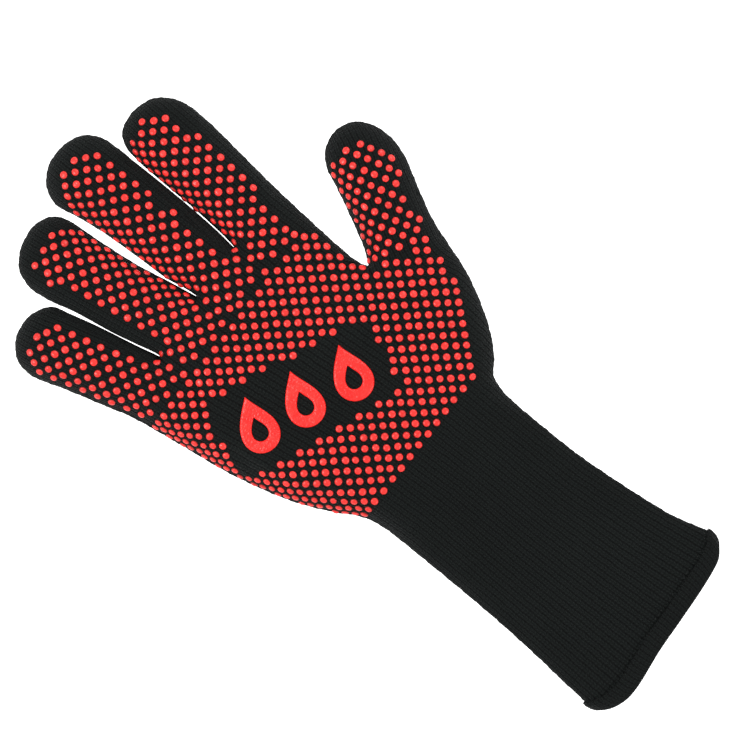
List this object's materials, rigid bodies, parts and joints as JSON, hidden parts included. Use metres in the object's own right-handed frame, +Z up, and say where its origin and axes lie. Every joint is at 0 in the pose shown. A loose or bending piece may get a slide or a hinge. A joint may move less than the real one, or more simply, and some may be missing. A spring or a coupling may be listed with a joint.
{
  "type": "heat resistant glove",
  "caption": "Knitted five-finger glove with a long cuff, a lining, raised grip dots over the palm and fingers, and bending wrist and fingers.",
  "frame": {"origin": "centre of the plan at the surface that the glove lies on", "axes": "+X towards the thumb, +Y towards the fingertips, +Z up out of the palm, which faces up"},
  "size_m": [0.1872, 0.3604, 0.016],
  "materials": {
    "knit": "near-black heavy aramid knit with fine lengthwise ribs",
    "hem": "near-black knit turned in and stitched",
    "thread": "near-black overlock thread",
    "lining": "soft dark grey cotton jersey",
    "dots": "bright red silicone, slightly glossy",
    "emblem": "bright red silicone, slightly glossy"
  },
  "bodies": {
    "cuff": {"cuff_shell": "knit", "cuff_lining": "lining", "cuff_hem": "hem", "hem_stitching": "thread"},
    "palm": {"wrist_shell": "knit", "wrist_lining": "lining", "palm_shell": "knit", "palm_lining": "lining", "palm_dots": "dots", "palm_emblem": "emblem"},
    "thumb_base": {"thumb_knuckle_shell": "knit", "thumb_base_shell": "knit", "thumb_base_lining": "lining", "thumb_base_dots": "dots"},
    "thumb_tip": {"thumb_joint_shell": "knit", "thumb_tip_shell": "knit", "thumb_tip_lining": "lining", "thumb_tip_dots": "dots"},
    "index_base": {"index_knuckle_shell": "knit", "index_base_shell": "knit", "index_base_lining": "lining", "index_base_dots": "dots"},
    "index_tip": {"index_joint_shell": "knit", "index_tip_shell": "knit", "index_tip_lining": "lining", "index_tip_dots": "dots"},
    "middle_base": {"middle_knuckle_shell": "knit", "middle_base_shell": "knit", "middle_base_lining": "lining", "middle_base_dots": "dots"},
    "middle_tip": {"middle_joint_shell": "knit", "middle_tip_shell": "knit", "middle_tip_lining": "lining", "middle_tip_dots": "dots"},
    "ring_base": {"ring_knuckle_shell": "knit", "ring_base_shell": "knit", "ring_base_lining": "lining", "ring_base_dots": "dots"},
    "ring_tip": {"ring_joint_shell": "knit", "ring_tip_shell": "knit", "ring_tip_lining": "lining", "ring_tip_dots": "dots"},
    "little_base": {"little_knuckle_shell": "knit", "little_base_shell": "knit", "little_base_lining": "lining", "little_base_dots": "dots"},
    "little_tip": {"little_joint_shell": "knit", "little_tip_shell": "knit", "little_tip_lining": "lining", "little_tip_dots": "dots"}
  },
  "joints": [
    {"name": "wrist_bend", "type": "hinge", "parent": "cuff", "child": "palm", "pos_m": [0, -0.045, 0.0075], "axis": [1, 0, 0], "range_deg": [-60, 70], "deforming": ["wrist_shell", "wrist_lining"]},
    {"name": "thumb_knuckle_bend", "type": "hinge", "parent": "palm", "child": "thumb_base", "pos_m": [0.05672, 0.02765, 0.0075], "axis": [0.8873, -0.4612, 0], "range_deg": [-10, 60], "deforming": ["thumb_knuckle_shell", "thumb_base_lining", "thumb_base_dots"]},
    {"name": "thumb_joint_bend", "type": "hinge", "parent": "thumb_base", "child": "thumb_tip", "pos_m": [0.07102, 0.05515, 0.0075], "axis": [0.8873, -0.4612, 0], "range_deg": [0, 80], "deforming": ["thumb_joint_shell", "thumb_tip_lining", "thumb_tip_dots"]},
    {"name": "index_knuckle_bend", "type": "hinge", "parent": "palm", "child": "index_base", "pos_m": [0.02609, 0.0858, 0.0075], "axis": [1, 0, 0], "range_deg": [-15, 90], "deforming": ["index_knuckle_shell", "index_base_lining", "index_base_dots"]},
    {"name": "index_joint_bend", "type": "hinge", "parent": "index_base", "child": "index_tip", "pos_m": [0.02892, 0.12108, 0.0075], "axis": [1, 0, 0], "range_deg": [0, 90], "deforming": ["index_joint_shell", "index_tip_lining", "index_tip_dots"]},
    {"name": "middle_knuckle_bend", "type": "hinge", "parent": "palm", "child": "middle_base", "pos_m": [-0.00452, 0.0858, 0.0075], "axis": [1, 0, 0], "range_deg": [-15, 90], "deforming": ["middle_knuckle_shell", "middle_base_lining", "middle_base_dots"]},
    {"name": "middle_joint_bend", "type": "hinge", "parent": "middle_base", "child": "middle_tip", "pos_m": [-0.00562, 0.12828, 0.0075], "axis": [1, 0, 0], "range_deg": [0, 90], "deforming": ["middle_joint_shell", "middle_tip_lining", "middle_tip_dots"]},
    {"name": "ring_knuckle_bend", "type": "hinge", "parent": "palm", "child": "ring_base", "pos_m": [-0.03499, 0.0858, 0.0075], "axis": [1, 0, 0], "range_deg": [-15, 90], "deforming": ["ring_knuckle_shell", "ring_base_lining", "ring_base_dots"]},
    {"name": "ring_joint_bend", "type": "hinge", "parent": "ring_base", "child": "ring_tip", "pos_m": [-0.0404, 0.12288, 0.0075], "axis": [1, 0, 0], "range_deg": [0, 90], "deforming": ["ring_joint_shell", "ring_tip_lining", "ring_tip_dots"]},
    {"name": "little_knuckle_bend", "type": "hinge", "parent": "palm", "child": "little_base", "pos_m": [-0.06681, 0.0858, 0.0075], "axis": [1, 0, 0], "range_deg": [-15, 90], "deforming": ["little_knuckle_shell", "little_base_lining", "little_base_dots"]},
    {"name": "little_joint_bend", "type": "hinge", "parent": "little_base", "child": "little_tip", "pos_m": [-0.07341, 0.11185, 0.0075], "axis": [1, 0, 0], "range_deg": [0, 90], "deforming": ["little_joint_shell", "little_tip_lining", "little_tip_dots"]}
  ]
}
